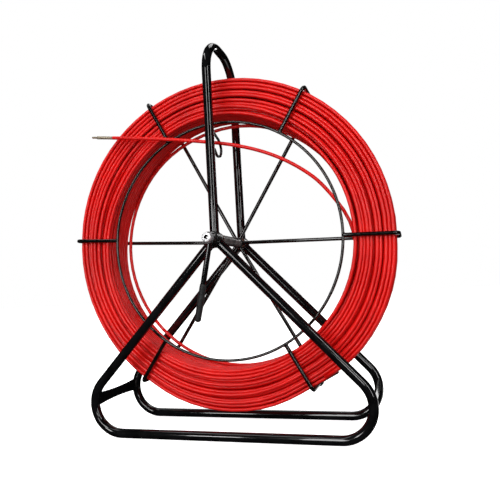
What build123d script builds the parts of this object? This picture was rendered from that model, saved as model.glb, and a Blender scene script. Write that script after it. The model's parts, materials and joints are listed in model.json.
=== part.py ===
from build123d import *
from math import atan2, cos, pi, radians, sin, tan
import os

# Cage reel for a 5 mm push rod. All sizes are millimetres.
# +X is to the right, +Y is to the rear, +Z is up. The origin is on the floor under the axle's middle.

# ---------------------------------------------------------------- driving dimensions
# stand
tube_r = 6.35               # half-inch round tube
tube_wall = 1.2
axle_z = 269.0              # height of the axle
frame_y = 59.0              # half the distance between the two side frames
corner_x = 250.0            # where the leg and base centre lines would meet
base_bend = 41.5            # centre-line radius of the base corners
handle_z = 552.0            # centre line of the handle's top
handle_bend = 50.0
strap_z = 52.0
strap_thickness = 3.0
strap_end = 19.0            # width where it is welded
strap_waist = 14.0

# axle, from the screw head at the front to the nut at the rear
boss_r = 9.0
boss_length = 24.0
bolt_r = 4.0
bolt_bore_r = 4.2
head_r = 6.5
head_length = 8.0
socket_across = 6.0
socket_depth = 4.5
washer_r = 8.0
washer_thickness = 1.6
nut_across = 13.0
nut_hex_length = 6.0
nut_collar_length = 2.0
bolt_tail = 6.5             # thread that shows behind the nut
disc_r = 9.0                # fibre discs between the bosses and the hub
disc_thickness = 1.2
side_play = 0.4

# brake lever
collar_r = 7.5
collar_length = 10.0
lever_angle = 12.2          # from straight down, towards -X
lever_rod_r = 3.7
lever_rod_end = 106.0       # from the axle's centre
grip_start = 62.0
grip_end = 112.5
grip_r = 4.8
grip_tip_r = 4.3

# drum
hub_r = 7.0
hub_bore_r = 5.5
bushing_length = 14.0
bushing_bore_r = 4.05
wire_r = 2.75
wire_bend = 7.0
wire_angles = (358.0, 57.5, 117.0, 176.0, 235.5, 299.0)     # set by hand before welding
bar_radius = 238.5          # axle to the outer bars of the cage
spoke_y = 40.0
rib_y = -27.7
ring_radius = 168.0
ring_wire_r = 2.0
play = 0.35                 # between the coil and the cage wires
coil_inner_r = 176.0
coil_corner = 10.0
clip_y = 23.0
clip_width = 12.0
clip_r = 4.7
clip_tongue = 3.5           # thickness
clip_length = 30.0

# guide eye, an open wire loop on the rear of the front upright
eye_wire_r = 1.9
eye_points = [
    (0, -frame_y, 427),
    (0, -45, 420),
    (0, -22, 413),
    (0, -13, 402),
    (0, -18, 391),
    (0, -32, 387.5),
    (0, -42, 396),
]
eye_bends = [12, 12, 8, 8, 8]

# rod
rod_r = 2.5
rod_route = [
    (169.6, -14.0, 297.0),
    (147.6, -19.0, 332.6),
    (114.6, -23.4, 361.2),
    (74.5, -27.6, 384.6),
    (26.0, -32.6, 401.4),
    (-30.0, -37.4, 412.6),
    (-94.0, -40.4, 424.0),
    (-160.4, -41.0, 433.6),
]
ferrule_r = 2.3
ferrule_length = 27.0
stud_r = 1.5
stud_length = 8.5

# ---------------------------------------------------------------- derived places
boss_out = frame_y + boss_length / 2
boss_in = frame_y - boss_length / 2
hub_end = boss_in - disc_thickness - side_play
collar_y = -(boss_out + play + collar_length / 2)
head_y = collar_y - collar_length / 2 - play - washer_thickness
nut_y = boss_out + washer_thickness
bolt_end_y = nut_y + nut_hex_length + nut_collar_length + bolt_tail
leg_angle = atan2(axle_z - tube_r, corner_x)
corner_tangent = base_bend * tan((pi - leg_angle) / 2)
bend_x = corner_x - corner_tangent + base_bend             # widest point of the base corner
coil_outer_r = bar_radius - wire_r - play
coil_front_y = rib_y + wire_r + play
coil_rear_y = spoke_y - wire_r - play
clip_angle = wire_angles[5]
clip_low = bar_radius - wire_r + 0.8                       # the clip is open towards the coil


# ---------------------------------------------------------------- helpers
def polar(radius, angle, y):
    """A point at a radius and an angle about the axle."""
    return (radius * cos(radians(angle)), y, axle_z + radius * sin(radians(angle)))


def round_along_y(radius, y_start, y_end, mode=Mode.ADD):
    """A cylinder on the axle's line, inside the part that is being built."""
    with BuildSketch(Plane(origin=(0, y_start, axle_z), x_dir=(1, 0, 0), z_dir=(0, 1, 0))) as disc:
        Circle(radius)
    extrude(disc.sketch, amount=y_end - y_start, mode=mode)


def swept_round(points, bends, radius, mode=Mode.ADD):
    """A round rod along straight runs joined by tangent arcs."""
    with BuildLine() as path:
        FilletPolyline(*points, radius=bends)
    with BuildSketch(Plane(origin=path.line @ 0, z_dir=path.line % 0)) as section:
        Circle(radius)
    sweep(sections=section.sketch, path=path.line, mode=mode)


def save(part, name):
    part.label = name
    export_step(part, f"parts/{name}.step")


os.makedirs("parts", exist_ok=True)


# ---------------------------------------------------------------- stand
def side_frame(name, y):
    """One bent tube: down a leg, along the floor and up the other leg to the boss."""
    leg_top = 6.7                   # the legs start inside the boss and are trimmed to it
    corners = [
        (-leg_top * cos(leg_angle), y, axle_z - leg_top * sin(leg_angle)),
        (-corner_x, y, tube_r),
        (corner_x, y, tube_r),
        (leg_top * cos(leg_angle), y, axle_z - leg_top * sin(leg_angle)),
    ]
    with BuildPart() as frame:
        swept_round(corners, base_bend, tube_r)
        swept_round(corners, base_bend, tube_r - tube_wall, mode=Mode.SUBTRACT)
        round_along_y(boss_r, y - boss_length, y + boss_length, mode=Mode.SUBTRACT)
    save(frame.part, name)


side_frame("front_side_frame", -frame_y)
side_frame("rear_side_frame", frame_y)

with BuildPart() as handle:
    handle_points = [
        (0, -frame_y, axle_z),
        (0, -frame_y, handle_z),
        (0, frame_y, handle_z),
        (0, frame_y, axle_z),
    ]
    swept_round(handle_points, handle_bend, tube_r)
    swept_round(handle_points, handle_bend, tube_r - tube_wall, mode=Mode.SUBTRACT)
    round_along_y(boss_r, -boss_out, boss_out, mode=Mode.SUBTRACT)
save(handle.part, "handle")


def axle_boss(name, y):
    with BuildPart() as boss:
        round_along_y(boss_r, y - boss_length / 2, y + boss_length / 2)
        chamfer(boss.edges().filter_by(GeomType.CIRCLE), 0.8)
        round_along_y(bolt_bore_r, y - boss_length / 2, y + boss_length / 2, mode=Mode.SUBTRACT)
    save(boss.part, name)


axle_boss("front_axle_boss", -frame_y)
axle_boss("rear_axle_boss", frame_y)


def cross_strap(name, side):
    """A flat bar on edge between the two side frames, waisted between its welded ends."""
    half = frame_y
    with BuildPart() as strap:
        with BuildSketch(Plane.YZ.offset(side * bend_x - strap_thickness / 2)):
            with BuildLine():
                upper = Spline(
                    (-half, strap_z + strap_end / 2),
                    (-half * 0.45, strap_z + strap_waist / 2),
                    (half * 0.45, strap_z + strap_waist / 2),
                    (half, strap_z + strap_end / 2),
                )
                right = Line(upper @ 1, (half, strap_z - strap_end / 2))
                lower = Spline(
                    right @ 1,
                    (half * 0.45, strap_z - strap_waist / 2),
                    (-half * 0.45, strap_z - strap_waist / 2),
                    (-half, strap_z - strap_end / 2),
                )
                Line(lower @ 1, upper @ 0)
            make_face()
        extrude(amount=strap_thickness)
        for y in (-frame_y, frame_y):
            with Locations((side * (bend_x - base_bend), y, tube_r + base_bend)):
                Torus(base_bend, tube_r, rotation=(90, 0, 0), mode=Mode.SUBTRACT)
        # only the bar between the two tubes stays
        between = 2 * frame_y - tube_r
        with Locations((side * bend_x, 0, strap_z)):
            Box(strap_thickness * 4, between, strap_end * 3, mode=Mode.INTERSECT)
    save(strap.part, name)


cross_strap("left_cross_strap", -1)
cross_strap("right_cross_strap", 1)

with BuildPart() as guide_eye:
    swept_round(eye_points, eye_bends, eye_wire_r)
    with BuildSketch(Plane.XY.offset(axle_z)):
        with Locations((0, -frame_y)):
            Circle(tube_r)
    extrude(amount=handle_z - axle_z, mode=Mode.SUBTRACT)
save(guide_eye.part, "guide_eye")

# ---------------------------------------------------------------- axle
with BuildPart() as axle_bolt:
    round_along_y(head_r, head_y - head_length, head_y)
    head_rim = axle_bolt.edges().filter_by(GeomType.CIRCLE).sort_by(Axis.Y)[0]
    chamfer(head_rim, 0.8)
    round_along_y(bolt_r, head_y, bolt_end_y)
    tail_rim = axle_bolt.edges().filter_by(GeomType.CIRCLE).sort_by(Axis.Y)[-1]
    chamfer(tail_rim, 0.8)
    socket_plane = Plane(origin=(0, head_y - head_length, axle_z), x_dir=(1, 0, 0), z_dir=(0, 1, 0))
    with BuildSketch(socket_plane):
        RegularPolygon(socket_across / 2, 6, major_radius=False)
    extrude(amount=socket_depth, mode=Mode.SUBTRACT)
save(axle_bolt.part, "axle_bolt")

with BuildPart() as axle_nut:
    nut_plane = Plane(origin=(0, nut_y, axle_z), x_dir=(1, 0, 0), z_dir=(0, 1, 0))
    with BuildSketch(nut_plane):
        RegularPolygon(nut_across / 2, 6, major_radius=False)
    extrude(amount=nut_hex_length)
    nut_top = nut_y + nut_hex_length
    round_along_y(nut_across / 2 - 0.6, nut_top, nut_top + nut_collar_length)
    round_along_y(bolt_r, nut_y, nut_top + nut_collar_length, mode=Mode.SUBTRACT)
save(axle_nut.part, "axle_nut")

with BuildPart() as axle_washers:
    for y in (head_y, boss_out):
        round_along_y(washer_r, y, y + washer_thickness)
        round_along_y(bolt_bore_r, y, y + washer_thickness, mode=Mode.SUBTRACT)
save(axle_washers.part, "axle_washers")

with BuildPart() as friction_discs:
    for y in (-boss_in, boss_in - disc_thickness):
        round_along_y(disc_r, y, y + disc_thickness)
        round_along_y(bolt_bore_r, y, y + disc_thickness, mode=Mode.SUBTRACT)
save(friction_discs.part, "friction_discs")

# ---------------------------------------------------------------- brake lever
with BuildPart() as brake_collar:
    round_along_y(collar_r, collar_y - collar_length / 2, collar_y + collar_length / 2)
    chamfer(brake_collar.edges().filter_by(GeomType.CIRCLE), 0.6)
    round_along_y(
        bushing_bore_r, collar_y - collar_length / 2, collar_y + collar_length / 2, mode=Mode.SUBTRACT
    )
save(brake_collar.part, "brake_collar")

lever_way = Vector(-sin(radians(lever_angle)), 0, -cos(radians(lever_angle)))
lever_origin = Vector(0, collar_y, axle_z)


def lever_plane(distance):
    return Plane(origin=lever_origin + lever_way * distance, x_dir=(0, 1, 0), z_dir=lever_way)


with BuildPart() as brake_rod:
    with BuildSketch(lever_plane(bolt_bore_r)):
        Circle(lever_rod_r)
    extrude(amount=lever_rod_end - bolt_bore_r)
    round_along_y(collar_r, collar_y - collar_length, collar_y + collar_length, mode=Mode.SUBTRACT)
save(brake_rod.part, "brake_rod")

with BuildPart() as brake_grip:
    with BuildSketch(lever_plane(grip_start)):
        Circle(grip_r)
    with BuildSketch(lever_plane(grip_end)):
        Circle(grip_tip_r)
    loft()
    fillet(brake_grip.edges().filter_by(GeomType.CIRCLE).sort_by(Axis.Z)[0], 3.0)
    fillet(brake_grip.edges().filter_by(GeomType.CIRCLE).sort_by(Axis.Z)[-1], 0.6)
    with BuildSketch(lever_plane(grip_start)):
        Circle(lever_rod_r)
    extrude(amount=lever_rod_end - grip_start, mode=Mode.SUBTRACT)
save(brake_grip.part, "brake_grip")

# ---------------------------------------------------------------- drum
with BuildPart() as hub_tube:
    round_along_y(hub_r, -hub_end, hub_end)
    round_along_y(hub_bore_r, -hub_end, hub_end, mode=Mode.SUBTRACT)
save(hub_tube.part, "hub_tube")

with BuildPart() as hub_bushings:
    for y in (-hub_end, hub_end - bushing_length):
        round_along_y(hub_bore_r, y, y + bushing_length)
        round_along_y(bushing_bore_r, y, y + bushing_length, mode=Mode.SUBTRACT)
save(hub_bushings.part, "hub_bushings")

with BuildPart() as front_ring:
    with BuildSketch(Plane(origin=(ring_radius, rib_y, axle_z), z_dir=(0, 0, 1))):
        Circle(ring_wire_r)
    revolve(axis=Axis((0, rib_y, axle_z), (0, 1, 0)))
save(front_ring.part, "front_ring")


def cage_wire(name, angle):
    """Spoke, outer bar and rib, bent from one wire."""
    corners = [
        polar(bolt_r, angle, spoke_y),
        polar(bar_radius, angle, spoke_y),
        polar(bar_radius, angle, rib_y),
        polar(ring_radius + ring_wire_r / 2, angle, rib_y),
    ]
    with BuildPart() as wire:
        swept_round(corners, wire_bend, wire_r)
        round_along_y(hub_r, -hub_end, hub_end, mode=Mode.SUBTRACT)
        add(front_ring.part, mode=Mode.SUBTRACT)
    save(wire.part, name)


for number, angle in enumerate(wire_angles, start=1):
    cage_wire(f"cage_wire_{number}", angle)

with BuildPart() as rod_coil:
    coil_middle = ((coil_inner_r + coil_outer_r) / 2, (coil_front_y + coil_rear_y) / 2)
    coil_plane = Plane(origin=(0, 0, axle_z), x_dir=(1, 0, 0), z_dir=(0, 0, 1))
    with BuildSketch(coil_plane):
        with Locations(coil_middle):
            RectangleRounded(coil_outer_r - coil_inner_r, coil_rear_y - coil_front_y, coil_corner)
    revolve(axis=Axis((0, 0, axle_z), (0, 1, 0)))
save(rod_coil.part, "rod_coil")

# the tail of the rod is held by a clip on one outer bar; its tongue lies along the coil
with BuildPart() as tail_clip:
    bar_at = (bar_radius * cos(radians(clip_angle)), bar_radius * sin(radians(clip_angle)))
    with BuildSketch(Plane(origin=(0, clip_y + clip_width, axle_z), x_dir=(1, 0, 0), z_dir=(0, -1, 0))):
        with Locations(bar_at):
            Circle(clip_r)
        with Locations(Location((0, 0), clip_angle)):
            with Locations((clip_low + clip_tongue / 2, clip_length / 2)):
                Rectangle(clip_tongue, clip_length)
        Circle(clip_low, mode=Mode.SUBTRACT)
        with Locations(bar_at):
            Circle(wire_r, mode=Mode.SUBTRACT)
    extrude(amount=clip_width)
save(tail_clip.part, "tail_clip")


# ---------------------------------------------------------------- free end of the rod
def route_radii(points):
    """Each arc is as large as its two runs allow."""
    radii = []
    for before, here, after in zip(points, points[1:], points[2:]):
        run_in = Vector(*here) - Vector(*before)
        run_out = Vector(*after) - Vector(*here)
        half_turn = radians(run_in.get_angle(run_out)) / 2
        radii.append(0.45 * min(run_in.length, run_out.length) / tan(half_turn))
    return radii


radii = route_radii(rod_route)
runs = [(Vector(*b) - Vector(*a)).length for a, b in zip(rod_route, rod_route[1:])]
with BuildLine() as rod_line:
    FilletPolyline(*rod_route, radius=radii)
with BuildPart() as free_rod_end:
    swept_round(rod_route, radii, rod_r)
save(free_rod_end.part, "free_rod_end")

tip_start = Vector(*rod_route[-1])
tip_way = (tip_start - Vector(*rod_route[-2])).normalized()
with BuildPart() as tip_ferrule:
    with BuildSketch(Plane(origin=tip_start, z_dir=tip_way)):
        Circle(ferrule_r)
    extrude(amount=ferrule_length)
    with BuildSketch(Plane(origin=tip_start + tip_way * ferrule_length, z_dir=tip_way)):
        Circle(stud_r)
    extrude(amount=stud_length)
save(tip_ferrule.part, "tip_ferrule")

# ---------------------------------------------------------------- figures for the record
length = rod_line.wires()[0].length
stud_at = tip_start + tip_way * (ferrule_length + stud_length / 2)
print("rod runs:", [round(run, 1) for run in runs])
print("rod radii:", [round(radius, 1) for radius in radii])
print("rod length:", round(length, 2))
print("rod volume over section:", round(free_rod_end.part.volume / (pi * rod_r**2), 2))
print("stud middle:", [round(c, 3) for c in stud_at], "way:", [round(c, 5) for c in tip_way])
print("axle from", round(head_y - head_length, 2), "to", round(bolt_end_y, 2))
print("coil:", round(coil_outer_r, 2), round(coil_front_y, 2), round(coil_rear_y, 2))
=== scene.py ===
"""A cage reel of red push rod: the looks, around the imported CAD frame. Metres, +Z up."""

import json
from math import atan2, cos, degrees, hypot, pi, radians, sin, sqrt, tau

import bmesh
import bpy
import numpy as np
from mathutils import Matrix, Vector


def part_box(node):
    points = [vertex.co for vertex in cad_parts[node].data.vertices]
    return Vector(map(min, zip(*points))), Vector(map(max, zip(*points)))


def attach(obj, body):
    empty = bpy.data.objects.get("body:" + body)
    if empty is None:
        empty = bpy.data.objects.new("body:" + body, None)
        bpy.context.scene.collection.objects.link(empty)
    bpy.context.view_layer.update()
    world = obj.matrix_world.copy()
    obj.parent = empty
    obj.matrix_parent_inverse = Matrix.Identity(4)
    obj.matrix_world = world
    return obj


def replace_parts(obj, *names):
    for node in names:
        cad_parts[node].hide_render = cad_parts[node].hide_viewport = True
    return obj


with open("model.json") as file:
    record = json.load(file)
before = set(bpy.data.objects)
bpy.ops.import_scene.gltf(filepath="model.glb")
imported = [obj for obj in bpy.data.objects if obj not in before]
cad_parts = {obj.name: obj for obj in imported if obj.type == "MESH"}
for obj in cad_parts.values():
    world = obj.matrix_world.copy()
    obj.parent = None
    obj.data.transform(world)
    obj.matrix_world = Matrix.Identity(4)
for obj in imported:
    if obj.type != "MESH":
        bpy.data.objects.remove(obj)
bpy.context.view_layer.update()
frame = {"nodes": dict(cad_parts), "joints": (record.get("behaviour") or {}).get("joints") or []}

# ------------------------------------------------------------------ places taken from the frame
MM = 0.001
JOINTS = {j["name"]: j for j in frame["joints"]}
AXLE_Z = JOINTS["drum_spin"]["pos_m"][2]
Y_AXIS = Vector((0, 1, 0))


def box_size(node):
    low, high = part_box(node)
    return high - low


FRAME_TUBE_R = box_size("front_side_frame").y / 2
FRAME_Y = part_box("rear_side_frame")[1].y - FRAME_TUBE_R
BOSS_R = box_size("front_axle_boss").x / 2
HUB_R = box_size("hub_tube").x / 2
RING_WIRE_R = box_size("front_ring").y / 2
RING_R = box_size("front_ring").x / 2 - RING_WIRE_R
RIB_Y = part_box("front_ring")[0].y + RING_WIRE_R
WIRE_R = RIB_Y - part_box("cage_wire_1")[0].y
SPOKE_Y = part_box("cage_wire_1")[1].y - WIRE_R
COIL_FRONT, COIL_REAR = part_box("rod_coil")[0].y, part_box("rod_coil")[1].y
WIRES = [f"cage_wire_{k}" for k in range(1, 7)]
ROD_R = 2.5 * MM


def wire_angle(node):
    """Degrees about the axle of one cage wire, from the middle of its outer bar."""
    points = np.array([v.co for v in frame["nodes"][node].data.vertices])
    x, z = points[:, 0], points[:, 2] - AXLE_Z
    reach = np.hypot(x, z)
    bar = reach > reach.max() - 2 * WIRE_R
    return degrees(atan2(z[bar].mean(), x[bar].mean())) % 360


WIRE_ANGLES = [wire_angle(node) for node in WIRES]


def along_axle(y):
    """A point on the axle's centre line."""
    return Vector((0, y, AXLE_Z))


def around_axle(radius, angle, y):
    """A point at a radius and an angle in degrees about the axle."""
    return Vector((radius * cos(radians(angle)), y, AXLE_Z + radius * sin(radians(angle))))


def add_object(name, data):
    made = bpy.data.objects.new(name, data)
    bpy.context.scene.collection.objects.link(made)
    return made


# ------------------------------------------------------------------ camera, at the photograph's viewing angle
CAMERA_TURN, CAMERA_RISE, CAMERA_ROLL = 16.80, 3.56, -3.17     # degrees

camera = add_object("camera", bpy.data.cameras.new("camera"))
camera.location = (0.2478, -0.7186, 0.2074)
camera.rotation_mode = "QUATERNION"
camera.rotation_quaternion = (
    Matrix.Rotation(radians(CAMERA_TURN), 4, "Z")
    @ Matrix.Rotation(radians(90 + CAMERA_RISE), 4, "X")
    @ Matrix.Rotation(radians(CAMERA_ROLL), 4, "Z")
).to_quaternion()
camera.data.lens = 37.6
camera.data.clip_start = 0.01
bpy.context.scene.camera = camera


# ------------------------------------------------------------------ materials
def new_material(
    name, color, roughness, metallic=0.0, coat=0.0, coat_roughness=0.05, specular=0.5, sheen=0.0
):
    """A Principled material whose plain values are set on the shader's own sockets."""
    material = bpy.data.materials.new(name)
    material.use_nodes = True
    shader = material.node_tree.nodes["Principled BSDF"]
    shader.inputs["Base Color"].default_value = (*color, 1)
    shader.inputs["Roughness"].default_value = roughness
    shader.inputs["Metallic"].default_value = metallic
    shader.inputs["Coat Weight"].default_value = coat
    shader.inputs["Coat Roughness"].default_value = coat_roughness
    shader.inputs["Specular IOR Level"].default_value = specular
    shader.inputs["Sheen Weight"].default_value = sheen
    return material, material.node_tree, shader


def surface_coords(tree, stretch=(1, 1, 1)):
    """Coordinates fixed to the piece, in metres; a stretch below 1 draws the pattern out along that axis."""
    place = tree.nodes.new("ShaderNodeTexCoord")
    mapping = tree.nodes.new("ShaderNodeMapping")
    mapping.inputs["Scale"].default_value = stretch
    tree.links.new(place.outputs["Object"], mapping.inputs["Vector"])
    return mapping.outputs["Vector"]


def noise(tree, coords, grain, detail=3.0, rough=0.55):
    """Noise whose features are about `grain` metres across."""
    node = tree.nodes.new("ShaderNodeTexNoise")
    node.inputs["Scale"].default_value = 1 / grain
    node.inputs["Detail"].default_value = detail
    node.inputs["Roughness"].default_value = rough
    tree.links.new(coords, node.inputs["Vector"])
    return node.outputs["Fac"]


def ramp(tree, value, low, high, a, b):
    """Value low..high turned into a..b, clamped."""
    node = tree.nodes.new("ShaderNodeMapRange")
    node.inputs["From Min"].default_value = low
    node.inputs["From Max"].default_value = high
    node.inputs["To Min"].default_value = a
    node.inputs["To Max"].default_value = b
    tree.links.new(value, node.inputs["Value"])
    return node.outputs["Result"]


def mix_color(tree, factor, a, b):
    """a at factor 0, b at factor 1; each is a colour or an output."""
    node = tree.nodes.new("ShaderNodeMix")
    node.data_type = "RGBA"
    tree.links.new(factor, node.inputs["Factor"])
    for socket, value in ((node.inputs[6], a), (node.inputs[7], b)):
        if isinstance(value, tuple):
            socket.default_value = (*value, 1)
        else:
            tree.links.new(value, socket)
    return node.outputs[2]


def add_bump(tree, shader, layers):
    """Layers of (height, depth in metres) stacked into the shader's normal."""
    normal = None
    for height, depth in layers:
        node = tree.nodes.new("ShaderNodeBump")
        node.inputs["Strength"].default_value = 1.0
        node.inputs["Distance"].default_value = depth
        tree.links.new(height, node.inputs["Height"])
        if normal is not None:
            tree.links.new(normal, node.inputs["Normal"])
        normal = node.outputs["Normal"]
    tree.links.new(normal, shader.inputs["Normal"])


def enamel(
    name, dark, light, rough=(0.08, 0.18), coat=0.8, peel=0.02 * MM, dust=0.006, grit_depth=0.001 * MM
):
    """Dipped and stoved black enamel: orange peel, thin scuffs and a little dust."""
    material, tree, shader = new_material(name, dark, 0.15, coat=coat, coat_roughness=0.035, specular=0.3)
    coords = surface_coords(tree)
    patches = noise(tree, coords, 14 * MM, detail=4)
    orange_peel = noise(tree, coords, 6 * MM, detail=2)
    grit = noise(tree, coords, 0.7 * MM, detail=2)
    scuff = noise(tree, coords, 12 * MM, detail=5, rough=0.6)
    tone = mix_color(tree, ramp(tree, patches, 0.35, 0.65, 0, 1), dark, light)
    dusty = mix_color(tree, ramp(tree, scuff, 0.66, 0.80, 0, 1), tone, (dust, dust, dust))
    tree.links.new(dusty, shader.inputs["Base Color"])
    tree.links.new(ramp(tree, scuff, 0.35, 0.7, *rough), shader.inputs["Roughness"])
    add_bump(tree, shader, [(orange_peel, peel), (grit, grit_depth)])
    return material


def sheath():
    """Smooth extruded red jacket, slightly waxy, with soft scuffs."""
    deep, bright = (0.56, 0.0024, 0.0018), (0.72, 0.0060, 0.0042)
    material, tree, shader = new_material(
        "red_sheath", bright, 0.34, coat=0.08, coat_roughness=0.22, specular=0.32
    )
    coords = surface_coords(tree)
    length_tone = noise(tree, coords, 45 * MM, detail=2)
    scuff = noise(tree, coords, 14 * MM, detail=4, rough=0.6)
    ripple = noise(tree, coords, 7 * MM, detail=2)
    grain = noise(tree, coords, 0.45 * MM, detail=2)
    tone = mix_color(tree, ramp(tree, length_tone, 0.3, 0.7, 0, 1), deep, bright)
    worn = mix_color(tree, ramp(tree, scuff, 0.68, 0.8, 0, 0.3), tone, (0.84, 0.06, 0.05))
    tree.links.new(worn, shader.inputs["Base Color"])
    tree.links.new(ramp(tree, scuff, 0.3, 0.75, 0.28, 0.42), shader.inputs["Roughness"])
    add_bump(tree, shader, [(ripple, 0.03 * MM), (grain, 0.001 * MM)])
    return material


def bright_metal(name, color, shade, rough, brushing, metallic):
    """Plated or turned metal; `brushing` is the stretch that draws its grain out into fine lines."""
    material, tree, shader = new_material(name, color, rough[0], metallic=metallic)
    coords = surface_coords(tree)
    lines = noise(tree, surface_coords(tree, brushing), 0.35 * MM, detail=4, rough=0.6)
    stain = noise(tree, coords, 3.5 * MM, detail=5)
    tone = mix_color(tree, ramp(tree, stain, 0.4, 0.72, 0, 1), color, shade)
    tree.links.new(tone, shader.inputs["Base Color"])
    tree.links.new(ramp(tree, lines, 0.3, 0.7, *rough), shader.inputs["Roughness"])
    add_bump(tree, shader, [(lines, 0.004 * MM)])
    return material


def matt(name, dark, light, rough, grain, depth, specks=None, sheen=0.0, metallic=0.0):
    """Rubber, nylon, fibre, sintered bronze and the painted shade in the socket: a grainy matt surface."""
    material, tree, shader = new_material(name, dark, rough[0], metallic=metallic, sheen=sheen, specular=0.4)
    coords = surface_coords(tree)
    patches = noise(tree, coords, 6 * MM, detail=5)
    fine = noise(tree, coords, grain, detail=3, rough=0.65)
    tone = mix_color(tree, ramp(tree, patches, 0.35, 0.65, 0, 1), dark, light)
    if specks is not None:
        tone = mix_color(tree, ramp(tree, fine, 0.6, 0.68, 0, 1), tone, specks)
    tree.links.new(tone, shader.inputs["Base Color"])
    tree.links.new(ramp(tree, patches, 0.3, 0.7, *rough), shader.inputs["Roughness"])
    add_bump(tree, shader, [(fine, depth)])
    return material


def hub_wear_and_highlight():
    """Dark coating over a rough welded tube with light grey streaks along the axle: partly worn through to
    grey steel, partly a painted highlight.
    """
    material, tree, shader = new_material(
        "hub_wear_and_highlight_coating", (0.05, 0.038, 0.035), 0.4, coat=0.3, coat_roughness=0.2
    )
    coords = surface_coords(tree, (1, 0.35, 1))
    streaks = noise(tree, coords, 1.6 * MM, detail=6, rough=0.7)
    patches = noise(tree, coords, 6 * MM, detail=3)
    base = mix_color(tree, ramp(tree, patches, 0.4, 0.6, 0, 1), (0.034, 0.031, 0.031), (0.13, 0.118, 0.116))
    # light grey streaks: partly wear through the coating, partly a painted highlight along the tube
    rubbed_and_highlight = mix_color(tree, ramp(tree, streaks, 0.58, 0.72, 0, 1), base, (0.40, 0.38, 0.37))
    tree.links.new(rubbed_and_highlight, shader.inputs["Base Color"])
    tree.links.new(ramp(tree, streaks, 0.3, 0.7, 0.5, 0.28), shader.inputs["Roughness"])
    add_bump(tree, shader, [(streaks, 0.25 * MM)])
    return material


BLACK = enamel("black_enamel", (0.002, 0.002, 0.0022), (0.005, 0.005, 0.0055))
WELD_BLACK = enamel(
    "black_enamel_on_weld", (0.006, 0.006, 0.006), (0.020, 0.019, 0.019),
    rough=(0.2, 0.4), coat=0.35, peel=0.08 * MM, dust=0.02, grit_depth=0.01 * MM,
)
WIRE_BLACK = enamel(
    "black_enamel_on_wire", (0.002, 0.002, 0.002), (0.005, 0.0045, 0.004),
    rough=(0.10, 0.2), peel=0.010 * MM, dust=0.007,
)
RING_BLACK = enamel(
    "thin_enamel_on_ring", (0.004, 0.0032, 0.003), (0.013, 0.009, 0.007),
    rough=(0.14, 0.26), coat=0.5, peel=0.010 * MM, dust=0.018,
)
RED = sheath()
DULL_ZINC = bright_metal(
    "dull_zinc", (0.16, 0.16, 0.165), (0.08, 0.08, 0.082), (0.35, 0.5), (1, 0.15, 1), metallic=0.8
)
ZINC = bright_metal(
    "bright_zinc", (0.80, 0.80, 0.81), (0.50, 0.51, 0.52), (0.22, 0.38), (1, 0.15, 1), metallic=0.6
)
# painted shade: dark matt for the walls and floor of the hexagon socket, where the recess lies in shade; the
# metal there is zinc
SOCKET_PAINTED_SHADE = matt(
    "socket_painted_shade", (0.012, 0.011, 0.010), (0.03, 0.028, 0.026), (0.3, 0.5), 0.5 * MM, 0.01 * MM
)
BRASS = bright_metal(
    "pale_brass", (0.56, 0.48, 0.36), (0.34, 0.28, 0.20), (0.28, 0.46), (1, 0.2, 0.2), metallic=0.7
)
BRONZE = matt(
    "sintered_bronze", (0.46, 0.30, 0.14), (0.62, 0.43, 0.22), (0.36, 0.55), 0.35 * MM, 0.03 * MM,
    specks=(0.10, 0.07, 0.04), metallic=1.0,
)
FIBRE = matt(
    "vulcanised_fibre", (0.085, 0.032, 0.020), (0.15, 0.058, 0.036), (0.55, 0.8), 0.5 * MM, 0.03 * MM
)
RUBBER = matt(
    "grip_rubber", (0.006, 0.006, 0.0065), (0.014, 0.014, 0.0145), (0.36, 0.6), 0.5 * MM, 0.02 * MM,
    specks=(0.022, 0.022, 0.022), sheen=0.05,
)
NYLON = matt(
    "black_nylon", (0.010, 0.010, 0.011), (0.018, 0.018, 0.019), (0.38, 0.6), 0.6 * MM, 0.03 * MM
)
HUB_COAT = hub_wear_and_highlight()


# ------------------------------------------------------------------ mesh helpers
def new_object(name, vertices, faces, material, smooth=True):
    mesh = bpy.data.meshes.new(name)
    mesh.from_pydata([tuple(v) for v in vertices], [], faces)
    mesh.validate()
    made = add_object(name, mesh)
    mesh.materials.append(material)
    mesh.polygons.foreach_set("use_smooth", [smooth] * len(mesh.polygons))
    outward(made)
    return made


def outward(made):
    """Turns every face to look out of the piece."""
    shape = bmesh.new()
    shape.from_mesh(made.data)
    bmesh.ops.recalc_face_normals(shape, faces=shape.faces)
    shape.to_mesh(made.data)
    shape.free()


def ring_faces(rings, sides, closed=False):
    """Faces over rings of `sides` points: closed round into a loop, or capped at both ends."""
    faces = []
    for i in range(rings if closed else rings - 1):
        j = (i + 1) % rings
        for k in range(sides):
            n = (k + 1) % sides
            faces.append((i * sides + k, i * sides + n, j * sides + n, j * sides + k))
    if not closed:
        faces.append(tuple(range(sides)))
        faces.append(tuple(range((rings - 1) * sides, rings * sides)))
    return faces


def tube_mesh(centres, across, up, radius, sides):
    """Vertices and faces of a capped tube: one ring of `sides` points at each centre."""
    turn = np.arange(sides) * tau / sides
    ring = (
        np.cos(turn)[None, :, None] * across[:, None, :]
        + np.sin(turn)[None, :, None] * up[:, None, :]
    )
    vertices = (centres[:, None, :] + ring * radius).reshape(-1, 3)
    return vertices, ring_faces(len(centres), sides)


def follow(points, steady):
    """Two directions across a line of points, the first one close to `steady`."""
    way = np.gradient(points, axis=0)
    way /= np.linalg.norm(way, axis=1, keepdims=True)
    first = steady - way * (way @ steady)[:, None]
    first /= np.linalg.norm(first, axis=1, keepdims=True)
    return first, np.cross(way, first)


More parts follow.
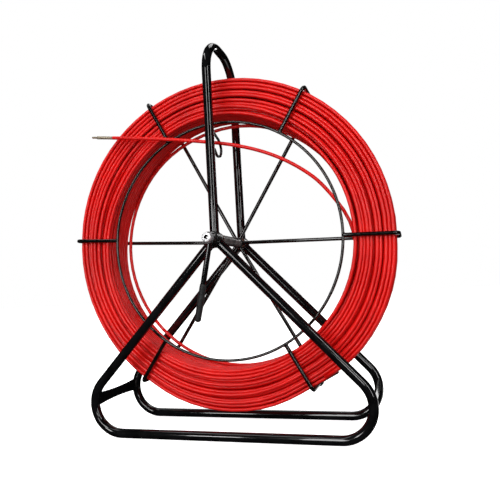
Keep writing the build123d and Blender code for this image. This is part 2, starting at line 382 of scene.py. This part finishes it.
def lathe(name, profile, origin, axis, material, sides=48, closed=False, sharp=35):
    """A turned piece: profile is (radius, distance along the axis) from one end to the other."""
    axis = Vector(axis).normalized()
    side = axis.orthogonal().normalized()
    other = axis.cross(side)
    vertices = []
    for radius, along in profile:
        for k in range(sides):
            turn = tau * k / sides
            vertices.append(origin + axis * along + (side * cos(turn) + other * sin(turn)) * radius)
    made = new_object(name, vertices, ring_faces(len(profile), sides, closed), material)
    keep_edges(made, sharp)
    return made


def keep_edges(made, angle):
    """Edges sharper than the angle stay sharp under smooth shading."""
    shape = bmesh.new()
    shape.from_mesh(made.data)
    for edge in shape.edges:
        if len(edge.link_faces) == 2 and edge.calc_face_angle() > radians(angle):
            edge.smooth = False
    shape.to_mesh(made.data)
    shape.free()


def rounded(corners, radius, steps=3):
    """A profile whose corners, all but its two ends, are rounded off."""
    made = [corners[0]]
    for before, here, after in zip(corners, corners[1:], corners[2:]):
        to_before = Vector(before) - Vector(here)
        to_after = Vector(after) - Vector(here)
        cut = min(radius, to_before.length * 0.45, to_after.length * 0.45)
        start = Vector(here) + to_before.normalized() * cut
        end = Vector(here) + to_after.normalized() * cut
        for k in range(steps + 1):
            t = k / steps
            bend = start.lerp(Vector(here), t).lerp(Vector(here).lerp(end, t), t)
            made.append(tuple(bend))
    made.append(corners[-1])
    return made


def join(name, pieces):
    """Several meshes made into one piece."""
    shape = bmesh.new()
    materials = []
    for piece in pieces:
        for material in piece.data.materials:
            if material not in materials:
                materials.append(material)
        before = len(shape.faces)
        shape.from_mesh(piece.data)
        shape.faces.ensure_lookup_table()
        for face in shape.faces[before:]:
            face.material_index = materials.index(piece.data.materials[face.material_index])
    mesh = bpy.data.meshes.new(name)
    shape.to_mesh(mesh)
    shape.free()
    for material in materials:
        mesh.materials.append(material)
    for piece in pieces:
        bpy.data.objects.remove(piece)
    return add_object(name, mesh)


# ------------------------------------------------------------------ the free end of the rod, a cord
ROD_ROUTE = [
    (0.1696, -0.0140, 0.2970),
    (0.1476, -0.0190, 0.3326),
    (0.1146, -0.0234, 0.3612),
    (0.0745, -0.0276, 0.3846),
    (0.0260, -0.0326, 0.4014),
    (-0.0300, -0.0374, 0.4126),
    (-0.0940, -0.0404, 0.4240),
    (-0.1604, -0.0410, 0.4336),
]


def free_rod():
    curve = bpy.data.curves.new("free_rod", "CURVE")
    curve.dimensions = "3D"
    spline = curve.splines.new("NURBS")
    spline.points.add(len(ROD_ROUTE) - 1)
    for point, place in zip(spline.points, ROD_ROUTE):
        point.co = (*place, 1)
    spline.order_u = 3
    spline.use_endpoint_u = True
    spline.resolution_u = 10
    curve.bevel_depth = ROD_R
    curve.bevel_resolution = 5
    curve.use_fill_caps = True
    curve.materials.append(RED)
    return add_object("free_rod", curve)


def screw_thread(name, origin, axis, core, crest, start, end, pitch, material, sides=24):
    """A helical ridge round a shank, from start to end along the axis."""
    axis = Vector(axis).normalized()
    side = axis.orthogonal().normalized()
    other = axis.cross(side)
    turns = (end - start) / pitch
    steps = int(turns * sides)
    spread = 0.98                       # the feet of neighbouring turns stay just apart
    profile = [(core, -0.5), (crest, -0.08), (crest, 0.08), (core, 0.5)]
    vertices, faces = [], []
    for i in range(steps + 1):
        turn = tau * i / sides
        fade = min(1.0, i / sides * 2, (steps - i) / sides * 2)
        out = side * cos(turn) + other * sin(turn)
        for radius, shift in profile:
            reach = core + (radius - core) * fade
            along = start + pitch * (i / sides + shift * spread)
            vertices.append(origin + axis * along + out * reach)
        if i < steps:
            a = i * 4
            faces += [(a + k, a + k + 1, a + k + 5, a + k + 4) for k in range(3)]
            faces.append((a + 3, a, a + 4, a + 7))
    faces += [(0, 1, 2, 3), tuple(steps * 4 + k for k in (3, 2, 1, 0))]
    made = new_object(name, vertices, faces, material)
    keep_edges(made, 30)
    return made


def rod_tip():
    """Crimped ferrule with turned grooves and a threaded stud, on the end of the free rod."""
    start = Vector(ROD_ROUTE[-1])
    way = (start - Vector(ROD_ROUTE[-2])).normalized()
    body, stud, mouth = 2.3 * MM, 1.5 * MM, 2.42 * MM
    groove, waist, core = body - 0.2 * MM, body - 0.15 * MM, stud * 0.8
    length, stud_length = 27.0 * MM, 8.5 * MM
    profile = [(1.8 * MM, -0.3 * MM), (2.2 * MM, -0.3 * MM), (mouth, 0.1 * MM), (mouth, 1.4 * MM)]
    profile += [(body, 1.8 * MM), (body, 4.5 * MM)]
    for k in range(3):                                # crimped grooves
        at = (5.0 + 3.2 * k) * MM
        profile += [(body, at), (groove, at + 0.5 * MM), (groove, at + 1.1 * MM), (body, at + 1.6 * MM)]
    profile += [(body, 17 * MM), (waist, 17.3 * MM), (waist, 18.3 * MM), (body, 18.6 * MM)]
    profile += [(body, length - 0.7 * MM), (body - 0.7 * MM, length), (core, length)]
    profile += [(core, length + stud_length - 0.6 * MM), (stud * 0.55, length + stud_length)]
    turned = lathe("tip_turned", profile, start, way, BRASS, sides=40, sharp=25)
    thread_start, thread_end = length + 0.7 * MM, length + stud_length - 0.7 * MM
    thread = screw_thread(
        "tip_thread", start, way, core, stud, thread_start, thread_end, 0.5 * MM, BRASS
    )
    return join("rod_tip", [turned, thread])


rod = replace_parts(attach(free_rod(), "stand"), "free_rod_end")
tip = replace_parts(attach(rod_tip(), "stand"), "tip_ferrule")

# ------------------------------------------------------------------ the wound rod
STATIONS = 72                       # points of the rod in each turn
STEP = 360 / STATIONS
LAYERS = 10
ROWS = (10, 9)                      # turns in each layer, in alternation, so that the layers nest
EXIT_ANGLE = degrees(atan2(ROD_ROUTE[0][2] - AXLE_Z, ROD_ROUTE[0][0]))
EXIT_RADIUS = hypot(ROD_ROUTE[0][0], ROD_ROUTE[0][2] - AXLE_Z)
TAIL_ANGLE = EXIT_ANGLE - 65        # under the tongue of the clip
BAR_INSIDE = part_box("rod_coil")[1].x + 0.2 * MM       # the strands rest against the outer bars
# inside and outside of the winding round the drum, as (degrees, radius in millimetres):
# it hangs a little low and to the left
INNER = [
    (0, 180), (30, 178.5), (60, 178), (90, 181.5), (110, 182), (130, 179.5), (150, 179.5), (168, 183),
    (185, 187), (210, 188), (240, 187), (262, 182), (290, 180.5), (320, 181), (345, 181.5),
]
OUTER = [
    (0, 236), (28, 235.8), (57, 235), (88, 233.8), (117, 235), (148, 237.2), (176, 236), (206, 234.8),
    (235, 236.5), (255, 240), (270, 240.8), (285, 240), (299, 238), (315, 241.2), (330, 241), (343, 238.5),
]
# the last turn hangs loose inside the others and leads out to the free end:
# degrees before the exit, radius, depth along the axle, in millimetres
LAST_TURN = [
    (330, 181, 31), (300, 179.5, 31.5), (284, 178.2, 31.5), (265, 176.6, 31), (240, 177.6, 31),
    (215, 178.2, 31), (190, 179.4, 31), (160, 179.5, 30.5), (130, 180.6, 29.5), (110, 181.8, 26),
    (90, 183, 20), (70, 184.2, 11), (50, 185, 3), (30, 185.2, -3.5), (18, 183.8, -7.5), (9, 179.6, -10.9),
    (0, EXIT_RADIUS / MM, ROD_ROUTE[0][1] / MM), (-9, 158, -17.8),
]


def blurred_round(line, degrees_wide):
    """A ring of values, one to a degree, evened out."""
    reach = int(4 * degrees_wide)
    blur = np.exp(-0.5 * (np.arange(-reach, reach + 1) / degrees_wide) ** 2)
    return np.convolve(np.concatenate([line[-reach:], line, line[:reach]]), blur / blur.sum(), mode="valid")


def profile_round(table, degrees_wide):
    """Radii in metres, one to a degree, from a table of (degrees, millimetres)."""
    at, value = (np.array(column, float) for column in zip(*table))
    line = np.interp(np.arange(360), np.concatenate([at - 360, at, at + 360]), np.tile(value, 3))
    return blurred_round(line, degrees_wide) * MM


def outer_profile():
    """The outside of the winding, held in by the six outer bars."""
    line = profile_round(OUTER, 7)
    for bar in WIRE_ANGLES:
        beside = np.abs((np.arange(360) - bar + 180) % 360 - 180)
        line = np.minimum(line, BAR_INSIDE - 0.6 * MM + beside * 0.3 * MM)
    return blurred_round(line, 2.5)


def at_angles(angles, line):
    """Values of a ring, one to a degree, at any angles."""
    return np.interp(np.mod(angles, 360), np.arange(361), np.append(line, line[0]))


def through(places, table, column):
    """A smooth line through the table's rows, which go down in their first column."""
    at, value = (np.array([row[k] for row in table[::-1]], float) for k in (0, column))
    slope = np.gradient(value, at)
    k = np.clip(np.searchsorted(at, places, side="right") - 1, 0, len(at) - 2)
    gap = at[k + 1] - at[k]
    t = np.clip((places - at[k]) / gap, 0, 1)
    return (
        (1 + 2 * t) * (1 - t) ** 2 * value[k] + t * t * (3 - 2 * t) * value[k + 1]
        + gap * (t * (1 - t) ** 2 * slope[k] - t * t * (1 - t) * slope[k + 1])
    )


def smooth_noise(random, count, sigma):
    """Noise that wanders over about sigma points, with a spread of about 1."""
    reach = int(4 * sigma)
    blur = np.exp(-0.5 * (np.arange(-reach, reach + 1) / sigma) ** 2)
    line = np.convolve(random.normal(size=count + 2 * reach), blur, mode="valid")
    return line / sqrt((blur**2).sum())


def ease(x):
    """0 to 1, slow at both ends."""
    x = np.clip(x, 0, 1)
    return x * x * (3 - 2 * x)


def layers_and_rows(random, progress):
    """Where each point of the rod lies in an even winding: its layer and its row, as real numbers."""
    layer, row = np.full(len(progress), LAYERS - 1.0), np.zeros(len(progress))
    widest, first = max(ROWS), 0
    for k in range(LAYERS):
        rows = ROWS[k % 2]
        shift = 0.0 if rows == widest else 0.5
        for r in range(rows):
            jump, width = random.uniform(0.25, 0.75), random.uniform(0.15, 0.35)
            here = (progress >= first + r) & (progress < first + r + 1)
            share = ease((progress[here] - first - r - jump) / width + 0.5)
            last = r == rows - 1
            across = shift + r + (0 if last else share)
            placed = across if k % 2 == 0 else widest - 1 - across
            if last:                    # steps up to the next layer on the side where this one ends
                next_shift = 0.5 - shift
                target = widest - 1 - next_shift if k % 2 == 0 else next_shift
                placed = placed * (1 - share) + target * share
                layer[here] = k + share
            else:
                layer[here] = k
            row[here] = placed
        first += rows
    row[progress >= first] = row[progress < first][-1]
    return np.minimum(layer, LAYERS - 1), row


def pushed_apart(radius, depth, gap):
    """How far each point moves to clear the strands beside it, in the plane through the axle."""
    count = len(radius)
    turns = -(-count // STATIONS)
    table = np.full((turns * STATIONS, 2), np.nan)
    table[:count, 0], table[:count, 1] = radius, depth
    table = table.reshape(turns, STATIONS, 2).transpose(1, 0, 2)
    between = table[:, :, None, :] - table[:, None, :, :]
    far = np.sqrt((between**2).sum(-1))
    far[:, np.arange(turns), np.arange(turns)] = 1.0
    far = np.where(np.isnan(far), 1.0, far)
    over = np.clip(gap - far, 0, None)
    move = (np.nan_to_num(between) / np.maximum(far, 1e-6)[..., None] * over[..., None] * 0.5).sum(2)
    move = np.clip(move, -1.5 * MM, 1.5 * MM)
    return move.transpose(1, 0, 2).reshape(turns * STATIONS, 2)[:count]


def kept_in(radius, depth, low, high, front, rear, corner, free):
    """Holds the points that are free to move inside the rounded space between the cage wires."""
    radius = np.where(free, np.clip(radius, low, high), radius)
    depth = np.where(free, np.clip(depth, front, rear), depth)
    for middle, side in ((high - corner, 1), (low + corner, -1)):
        for across, way in ((front + corner, -1), (rear - corner, 1)):
            out, along = (radius - middle) * side, (depth - across) * way
            reach = np.hypot(out, along)
            outside = free & (out > 0) & (along > 0) & (reach > corner)
            pull = np.where(outside, corner / np.maximum(reach, 1e-9), 1)
            radius = np.where(outside, middle + side * out * pull, radius)
            depth = np.where(outside, across + way * along * pull, depth)
    return radius, depth


def wound_line():
    """The rod's centre line from its tail to where the free end begins, one point every 5 degrees."""
    random = np.random.default_rng(7)
    turns = sum(ROWS[k % 2] for k in range(LAYERS)) + 1
    count = turns * STATIONS + round((EXIT_ANGLE - TAIL_ANGLE) / STEP) + 1
    angle = TAIL_ANGLE + np.arange(count) * STEP
    low = at_angles(angle, profile_round(INNER, 12)) + ROD_R
    high = at_angles(angle, outer_profile()) - ROD_R
    front, rear = COIL_FRONT + ROD_R, COIL_REAR - ROD_R
    layer, row = layers_and_rows(random, np.arange(count) / STATIONS)
    loose = (0.3 + 0.7 * layer / (LAYERS - 1)) * MM   # the outermost turns press against the bars
    radius = low + (high - low) * (1 - layer / (LAYERS - 1)) + smooth_noise(random, count, 7) * 1.1 * loose
    radius += np.cos(pi * row) * 1.3 * loose          # each layer nests in the one outside it
    depth = front + (rear - front) * row / (max(ROWS) - 1) + smooth_noise(random, count, 7) * 1.3 * MM

    before_exit = angle[-1] - angle
    set_radius = through(before_exit, LAST_TURN, 1) * MM
    set_depth = through(before_exit, LAST_TURN, 2) * MM
    hold = ease((LAST_TURN[0][0] - before_exit) / 25)
    rounds = 300
    for n in range(rounds):
        radius += (set_radius - radius) * hold
        depth += (set_depth - depth) * hold
        move = pushed_apart(radius, depth, 2 * ROD_R) * (1 - hold)[:, None] * 0.8
        radius, depth = radius + move[:, 0], depth + move[:, 1]
        early = n < rounds * 0.75
        share = (radius - low) / (high - low)
        for _ in range(2 if early else 1):            # the rod is stiff, so it evens out along its length
            for line in (share, depth):
                line[1:-1] += (0.45 if early else 0.2) * (0.5 * (line[2:] + line[:-2]) - line[1:-1])
        radius = low + (high - low) * share
        radius, depth = kept_in(radius, depth, low, high, front, rear, 3.5 * MM, hold < 0.5)
    radius += (set_radius - radius) * hold
    depth += (set_depth - depth) * hold
    way_round = np.radians(angle)
    return np.stack([radius * np.cos(way_round), depth, AXLE_Z + radius * np.sin(way_round)], axis=1)


def winding():
    line = wound_line()
    line[-1] = ROD_ROUTE[0]             # meets the free end exactly
    across, up = follow(line, np.array(Y_AXIS))
    vertices, faces = tube_mesh(line, across, up, ROD_R, 10)
    return new_object("rod_winding", vertices, faces, RED)


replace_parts(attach(winding(), "drum"), "rod_coil")


# ------------------------------------------------------------------ weld beads
def bead(name, loop, size, seed, closed=True, sides=8):
    """A lumpy weld bead along a loop of points."""
    random = np.random.default_rng(seed)
    points = np.array(loop, float)
    count = len(points)
    if closed:
        way = np.roll(points, -1, 0) - np.roll(points, 1, 0)
    else:
        way = np.gradient(points, axis=0)
    way /= np.linalg.norm(way, axis=1, keepdims=True)
    steady = np.array((0.31, 0.22, 0.93))             # a slanted direction, to start from
    first = np.cross(way, steady)
    first /= np.linalg.norm(first, axis=1, keepdims=True)
    second = np.cross(way, first)
    ripple = 1 + 0.16 * np.sin(np.arange(count) * 2.1) + random.uniform(-0.12, 0.12, count)
    turn = np.arange(sides) * tau / sides
    vertices = []
    for i in range(count):
        taper = 1.0 if closed else min(1.0, 0.35 + 0.5 * min(i, count - 1 - i))
        for t in turn:
            vertices.append(points[i] + (first[i] * cos(t) + second[i] * sin(t)) * size * ripple[i] * taper)
    return new_object(name, vertices, ring_faces(count, sides, closed), WELD_BLACK)


def round_joint(middle, axis, way, big, small, steps=40):
    """Where a round bar of radius `small` along `way` meets a round body of radius `big` along `axis`."""
    axis, way = Vector(axis).normalized(), Vector(way).normalized()
    side = axis.cross(way).normalized()
    loop = []
    for k in range(steps):
        turn = tau * k / steps
        across = small * cos(turn)
        out = sqrt(big * big - across * across)
        loop.append(middle + side * across + axis * small * sin(turn) + way * out)
    return loop


CORNER_X = 0.25                     # where the centre lines of the leg and the floor bar would meet
LEG_ANGLE = degrees(atan2(AXLE_Z - FRAME_TUBE_R, CORNER_X))


def boss_welds(name, y):
    """Beads round the two legs and the upright where they meet the boss, and the filled crotch under it."""
    pieces = []
    middle = along_axle(y)
    for k, angle in enumerate((90, 180 + LEG_ANGLE, 360 - LEG_ANGLE)):
        way = (cos(radians(angle)), 0, sin(radians(angle)))
        loop = round_joint(middle, Y_AXIS, way, BOSS_R - 0.2 * MM, FRAME_TUBE_R + 0.2 * MM, 56)
        pieces.append(bead(f"{name}_{k}", loop, 1.25 * MM, seed=20 + k))
    crotch = [
        Vector((x * MM, y, AXLE_Z - (10.2 + 0.055 * x * x) * MM)) for x in np.linspace(-6, 6, 9)
    ]
    for shift in (-3.2, 0, 3.2):
        line = [point + Vector((0, shift * MM, 0)) for point in crotch]
        pieces.append(bead(f"{name}_crotch_{shift}", line, 2.0 * MM, seed=31, closed=False))
    return join(name, pieces)


for name, y in (("front_boss_welds", -FRAME_Y), ("rear_boss_welds", FRAME_Y)):
    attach(boss_welds(name, y), "stand")


def strap_welds(name, node):
    """A bead down both faces of a cross strap, at each end."""
    low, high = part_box(node)
    pieces = []
    for end, y in ((-1, low.y), (1, high.y)):
        for x in (low.x - 0.2 * MM, high.x + 0.2 * MM):
            heights = np.linspace(low.z + 1.0 * MM, high.z - 1.0 * MM, 16)
            line = [Vector((x, y - end * 0.6 * MM, z)) for z in heights]
            pieces.append(bead(f"{name}_{end}_{x:.3f}", line, 1.2 * MM, seed=40 + end, closed=False))
    return join(name, pieces)


for side in ("left", "right"):
    made = strap_welds(f"{side}_strap_welds", f"{side}_cross_strap")
    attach(made, "stand")


def drum_welds():
    """Beads round the spokes on the hub tube, and on the ribs where they meet the front ring."""
    pieces = []
    for k, angle in enumerate(WIRE_ANGLES):
        out = Vector((cos(radians(angle)), 0, sin(radians(angle))))
        loop = round_joint(along_axle(SPOKE_Y), Y_AXIS, out, HUB_R - 0.1 * MM, WIRE_R + 0.25 * MM, 24)
        pieces.append(bead(f"hub_bead_{k}", loop, 0.95 * MM, seed=60 + k))
        along = Vector((-out.z, 0, out.x))
        joint = around_axle(RING_R, angle, RIB_Y)
        loop = [
            joint + along * WIRE_R * 1.1 * cos(t) + Y_AXIS * WIRE_R * 0.95 * sin(t)
            + out * RING_WIRE_R * (0.5 + 0.35 * cos(2 * t))
            for t in np.arange(24) * tau / 24
        ]
        pieces.append(bead(f"ring_bead_{k}", loop, 0.85 * MM, seed=80 + k))
    return join("drum_welds", pieces)


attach(drum_welds(), "drum")


def eye_weld():
    """The bead that holds the guide eye to the rear of the front upright."""
    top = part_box("guide_eye")[1].z
    foot = Vector((0, -FRAME_Y, top - 2.6 * MM))
    loop = round_joint(foot, (0, 0, 1), Y_AXIS, FRAME_TUBE_R - 0.1 * MM, 2.2 * MM, 24)
    return bead("guide_eye_weld", loop, 0.9 * MM, seed=91)


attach(eye_weld(), "stand")

# ------------------------------------------------------------------ axle hardware
BOLT_LOW, BOLT_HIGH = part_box("axle_bolt")
HEAD_R = box_size("axle_bolt").x / 2
HEAD_LENGTH = 8.0 * MM
SHANK_R = 4.0 * MM
HEX_R = 3.0 * MM / cos(pi / 6)
HEX_DEPTH = 4.5 * MM
KNURL_DEPTH = 0.14 * MM


def socket_head():
    """Knurled cap head with a hexagon socket, open at the front."""
    knurls = 48
    sides = knurls * 2
    front = BOLT_LOW.y
    rings = [                                         # radius, distance from the front, knurled or not
        (3.45 * MM, 0.0, False),
        (HEAD_R - 1.0 * MM, 0.0, False),
        (HEAD_R - 0.35 * MM, 0.25 * MM, False),
        (HEAD_R - 0.02 * MM, 0.9 * MM, True),
        (HEAD_R, 2.5 * MM, True),
        (HEAD_R, HEAD_LENGTH - 1.4 * MM, True),
        (HEAD_R - 0.15 * MM, HEAD_LENGTH - 0.9 * MM, False),
        (HEAD_R - 0.15 * MM, HEAD_LENGTH - 0.2 * MM, False),
        (HEAD_R - 0.4 * MM, HEAD_LENGTH, False),
        (SHANK_R, HEAD_LENGTH, False),
    ]
    vertices = []

    def add_ring(reach, along):
        for k in range(sides):
            turn = tau * k / sides
            radius = reach(k, turn)
            vertices.append(along_axle(front + along) + Vector((cos(turn), 0, sin(turn))) * radius)

    def hexagon(k, turn):
        return HEX_R * cos(pi / 6) / cos((turn % (pi / 3)) - pi / 6)

    add_ring(lambda k, turn: 1.2 * MM, HEX_DEPTH + 0.5 * MM)
    add_ring(hexagon, HEX_DEPTH)
    add_ring(hexagon, 0.35 * MM)
    for radius, along, knurled in rings:
        add_ring(lambda k, turn: radius - (KNURL_DEPTH if knurled and k % 2 else 0), along)
    made = new_object("screw_head", vertices, ring_faces(len(vertices) // sides, sides), ZINC)
    keep_edges(made, 28)
    # the socket's walls and floor take the dark matt: painted shade in the recess
    made.data.materials.append(SOCKET_PAINTED_SHADE)
    for face in made.data.polygons[: 2 * sides]:      # the walls and floor of the socket
        face.material_index = 1
    return made


def axle_screw():
    head_end = BOLT_LOW.y + HEAD_LENGTH
    thread_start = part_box("axle_nut")[0].y + 0.4 * MM
    tail = BOLT_HIGH.y
    core = SHANK_R * 0.86
    shank = lathe(
        "screw_shank",
        [(SHANK_R, head_end - 0.1 * MM), (SHANK_R, thread_start - 0.6 * MM), (core, thread_start),
         (core, tail - 0.8 * MM), (core - 0.8 * MM, tail)],
        along_axle(0), Y_AXIS, ZINC, sides=40,
    )
    thread = screw_thread(
        "screw_thread", along_axle(0), Y_AXIS, core - 0.05 * MM, SHANK_R, thread_start + 0.4 * MM,
        tail - 1.0 * MM, 1.25 * MM, ZINC, sides=32,
    )
    return join("axle_screw", [socket_head(), shank, thread])


def lock_nut():
    """Hexagon nut with chamfered corners, a rolled collar and its nylon ring."""
    low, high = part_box("axle_nut")
    across = box_size("axle_nut").z / 2
    corner = across / cos(pi / 6)
    sides = 96
    hex_end = low.y + 6.0 * MM
    bore = SHANK_R + 0.02 * MM
    vertices = []

    def add_ring(reach, y):
        for k in range(sides):
            turn = tau * k / sides
            vertices.append(along_axle(y) + Vector((cos(turn), 0, sin(turn))) * reach(turn))

    def flat(turn):
        return across / cos(((turn + pi / 6) % (pi / 3)) - pi / 6)

    def chamfered(limit):
        return lambda turn: min(flat(turn), limit)

    add_ring(lambda turn: bore, low.y)
    add_ring(chamfered(across - 0.1 * MM), low.y)
    add_ring(chamfered(corner - 0.45 * MM), low.y + 0.45 * MM)
    add_ring(chamfered(corner), low.y + 1.1 * MM)
    add_ring(chamfered(corner), hex_end - 1.0 * MM)
    add_ring(chamfered(corner - 0.5 * MM), hex_end - 0.4 * MM)
    add_ring(chamfered(across - 0.1 * MM), hex_end)
    add_ring(lambda turn: across - 0.7 * MM, hex_end + 0.1 * MM)
    add_ring(lambda turn: across - 0.8 * MM, high.y - 0.7 * MM)
    add_ring(lambda turn: across - 1.2 * MM, high.y - 0.15 * MM)
    add_ring(lambda turn: across - 1.7 * MM, high.y)
    add_ring(lambda turn: across - 1.9 * MM, high.y - 0.3 * MM)
    add_ring(lambda turn: bore, high.y - 0.3 * MM)
    nut = new_object("nut_body", vertices, ring_faces(len(vertices) // sides, sides, closed=True), ZINC)
    keep_edges(nut, 28)
    ring_profile = rounded(
        [(bore, high.y - 1.4 * MM), (bore, high.y - 0.25 * MM), (across - 1.95 * MM, high.y - 0.25 * MM),
         (across - 1.95 * MM, high.y - 1.4 * MM)], 0.2 * MM,
    )
    nylon = lathe("nut_nylon", ring_profile, along_axle(0), Y_AXIS, NYLON, sides=48, closed=True)
    return join("lock_nut", [nut, nylon])


def flat_ring(name, y, thickness, bore, outside, material):
    """A washer or disc with softly rounded edges."""
    ease_by = min(0.35 * MM, thickness * 0.3)
    corners = [
        (bore, y + thickness / 2), (bore, y), (outside, y), (outside, y + thickness), (bore, y + thickness),
        (bore, y + thickness / 2),
    ]
    return lathe(name, rounded(corners, ease_by)[:-1], along_axle(0), Y_AXIS, material, sides=64, closed=True)


def pair(name, node, material, bore, thickness):
    """The two rings of one CAD node, at its two ends along the axle."""
    low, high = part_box(node)
    outside = (high.z - low.z) / 2
    pieces = [
        flat_ring(f"{name}_front", low.y, thickness, bore, outside, material),
        flat_ring(f"{name}_rear", high.y - thickness, thickness, bore, outside, material),
    ]
    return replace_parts(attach(join(name, pieces), "stand"), node)


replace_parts(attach(axle_screw(), "stand"), "axle_bolt")
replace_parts(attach(lock_nut(), "stand"), "axle_nut")
pair("plain_washers", "axle_washers", DULL_ZINC, 4.2 * MM, 1.6 * MM)
pair("brake_discs", "friction_discs", FIBRE, 4.2 * MM, 1.2 * MM)


# ------------------------------------------------------------------ brake lever
LEVER_ANGLE = radians(12.2)
LEVER_WAY = Vector((-sin(LEVER_ANGLE), 0, -cos(LEVER_ANGLE)))
COLLAR_LOW, COLLAR_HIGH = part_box("brake_collar")
LEVER_TOP = along_axle((COLLAR_LOW.y + COLLAR_HIGH.y) / 2)
LEVER_ROD_R = 3.7 * MM
COLLAR_R = (COLLAR_HIGH.x - COLLAR_LOW.x) / 2


def grip_sleeve():
    """A dipped rubber sleeve with a small lip, soft swellings and a domed end."""
    start, end, dome = 62.0 * MM, 112.5 * MM, 4.4 * MM
    profile = [(LEVER_ROD_R, start + 2.0 * MM), (LEVER_ROD_R, start)]
    profile += [(LEVER_ROD_R + 0.3 * MM, start - 0.1 * MM), (4.25 * MM, start + 0.4 * MM)]
    profile += [(dome, start + 1.2 * MM), (4.3 * MM, start + 2.3 * MM)]
    for k in range(20):
        share = k / 19
        swell = 0.22 * MM * sin(pi * (share * 1.1)) - 0.10 * MM * sin(tau * share * 1.5)
        along = start + 4 * MM + share * (end - start - 9 * MM)
        profile.append((4.45 * MM + swell - 0.12 * MM * share, along))
    for k in range(8):
        turn = (k + 1) / 8 * pi / 2
        profile.append((dome * cos(turn) + 0.02 * MM, end - dome + dome * sin(turn)))
    return lathe("grip_sleeve", profile, LEVER_TOP, LEVER_WAY, RUBBER, sides=40, sharp=60)


def lever_weld():
    """The bead round the lever's rod where it meets the collar."""
    loop = round_joint(LEVER_TOP, Y_AXIS, LEVER_WAY, COLLAR_R - 0.15 * MM, LEVER_ROD_R + 0.15 * MM, 32)
    return bead("lever_weld", loop, 0.9 * MM, seed=95)


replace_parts(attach(grip_sleeve(), "brake_lever"), "brake_grip")
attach(lever_weld(), "brake_lever")

# ------------------------------------------------------------------ finishes of the CAD nodes that stay
FINISHES = {
    "front_side_frame": BLACK, "rear_side_frame": BLACK, "handle": BLACK,
    "front_axle_boss": WELD_BLACK, "rear_axle_boss": WELD_BLACK,
    "left_cross_strap": BLACK, "right_cross_strap": BLACK, "guide_eye": WIRE_BLACK,
    "brake_collar": WELD_BLACK, "brake_rod": BLACK,
    "hub_tube": HUB_COAT, "hub_bushings": BRONZE, "front_ring": RING_BLACK, "tail_clip": NYLON,
    **{node: WIRE_BLACK for node in WIRES},
}
for node, material in FINISHES.items():
    mesh = frame["nodes"][node].data
    mesh.materials.clear()
    mesh.materials.append(material)


# ------------------------------------------------------------------ floor and light
def floor():
    """A pale floor with a glow of its own; reflections and bounced light don't see it."""
    mesh = bpy.data.meshes.new("floor")
    mesh.from_pydata([(-6, -6, 0), (6, -6, 0), (6, 6, 0), (-6, 6, 0)], [], [(0, 1, 2, 3)])
    made = add_object("floor", mesh)
    material, tree, shader = new_material("pale_floor", (0.93, 0.93, 0.93), 0.6, specular=0.1)
    shader.inputs["Emission Color"].default_value = (1, 1, 1, 1)
    shader.inputs["Emission Strength"].default_value = 0.82
    mottle = noise(tree, surface_coords(tree), 0.25, detail=2)
    mottled = mix_color(tree, mottle, (0.92, 0.92, 0.92), (0.95, 0.95, 0.95))
    tree.links.new(mottled, shader.inputs["Base Color"])
    mesh.materials.append(material)
    made.visible_glossy = False
    made.visible_diffuse = False


def backdrop():
    """White where the camera sees it, and a dim even light for everything else."""
    world = bpy.data.worlds.new("studio")
    bpy.context.scene.world = world
    world.use_nodes = True
    tree = world.node_tree
    seen = tree.nodes["Background"]
    dim = tree.nodes.new("ShaderNodeBackground")
    for node, strength in ((seen, 1.0), (dim, 0.30)):
        node.inputs["Color"].default_value = (1, 1, 1, 1)
        node.inputs["Strength"].default_value = strength
    path = tree.nodes.new("ShaderNodeLightPath")
    mixed = tree.nodes.new("ShaderNodeMixShader")
    tree.links.new(path.outputs["Is Camera Ray"], mixed.inputs["Fac"])
    tree.links.new(dim.outputs["Background"], mixed.inputs[1])
    tree.links.new(seen.outputs["Background"], mixed.inputs[2])
    tree.links.new(mixed.outputs["Shader"], tree.nodes["World Output"].inputs["Surface"])
    world.cycles_visibility.glossy = False


def soft_light(name, place, aim, width, height, power, glossy=True):
    """A rectangular light that the camera doesn't see; power is in watts."""
    light = bpy.data.lights.new(name, "AREA")
    light.shape = "RECTANGLE"
    light.size, light.size_y, light.energy = width, height, power
    made = add_object(name, light)
    made.location = place
    made.rotation_mode = "QUATERNION"
    made.rotation_quaternion = (Vector(aim) - Vector(place)).to_track_quat("-Z", "Y")
    made.visible_camera = False
    made.visible_glossy = glossy


def studio():
    """Broad lights for the shapes, and strips and cards for the highlights on the enamel and the screw."""
    middle = (0, 0, 0.27)
    soft_light("front", (-0.3, -2.0, 1.1), middle, 1.8, 1.3, 24, glossy=False)
    soft_light("front_strip", (-0.18, -1.95, 0.85), middle, 0.28, 1.3, 9)
    soft_light("right_strip", (1.34, -0.98, 0.75), middle, 0.13, 1.2, 7)
    soft_light("screw_light", (-0.70, -1.80, 0.46), middle, 0.26, 0.34, 4)
    soft_light("overhead_strip", (-0.7, -0.55, 2.0), middle, 1.7, 0.16, 3.5)
    soft_light("rear_card", (-0.6, 2.0, 1.8), middle, 1.5, 1.5, 9)
    soft_light("rib_card", (0.70, -1.80, 0.43), middle, 0.16, 0.30, 2.2)
    soft_light("hub_card", (0.32, 2.1, 0.95), middle, 0.28, 0.4, 1.3)
    soft_light("top_card", (0.3, 0.8, 2.3), middle, 0.9, 0.9, 5)
    soft_light("rear", (0.5, 2.2, 1.0), middle, 2.0, 1.5, 20, glossy=False)
    soft_light("floor_card", (0.30, 0.42, 0.004), (0.30, 0.42, 1.0), 0.3, 0.7, 0.6)
    sky = bpy.data.lights.new("sky", "SUN")
    sky.energy, sky.angle = 0.7, radians(80)
    above = add_object("sky", sky)
    above.rotation_euler = (radians(12), radians(-8), 0)
    above.visible_glossy = False
    bpy.context.scene.view_settings.view_transform = "Standard"


floor()
backdrop()
studio()
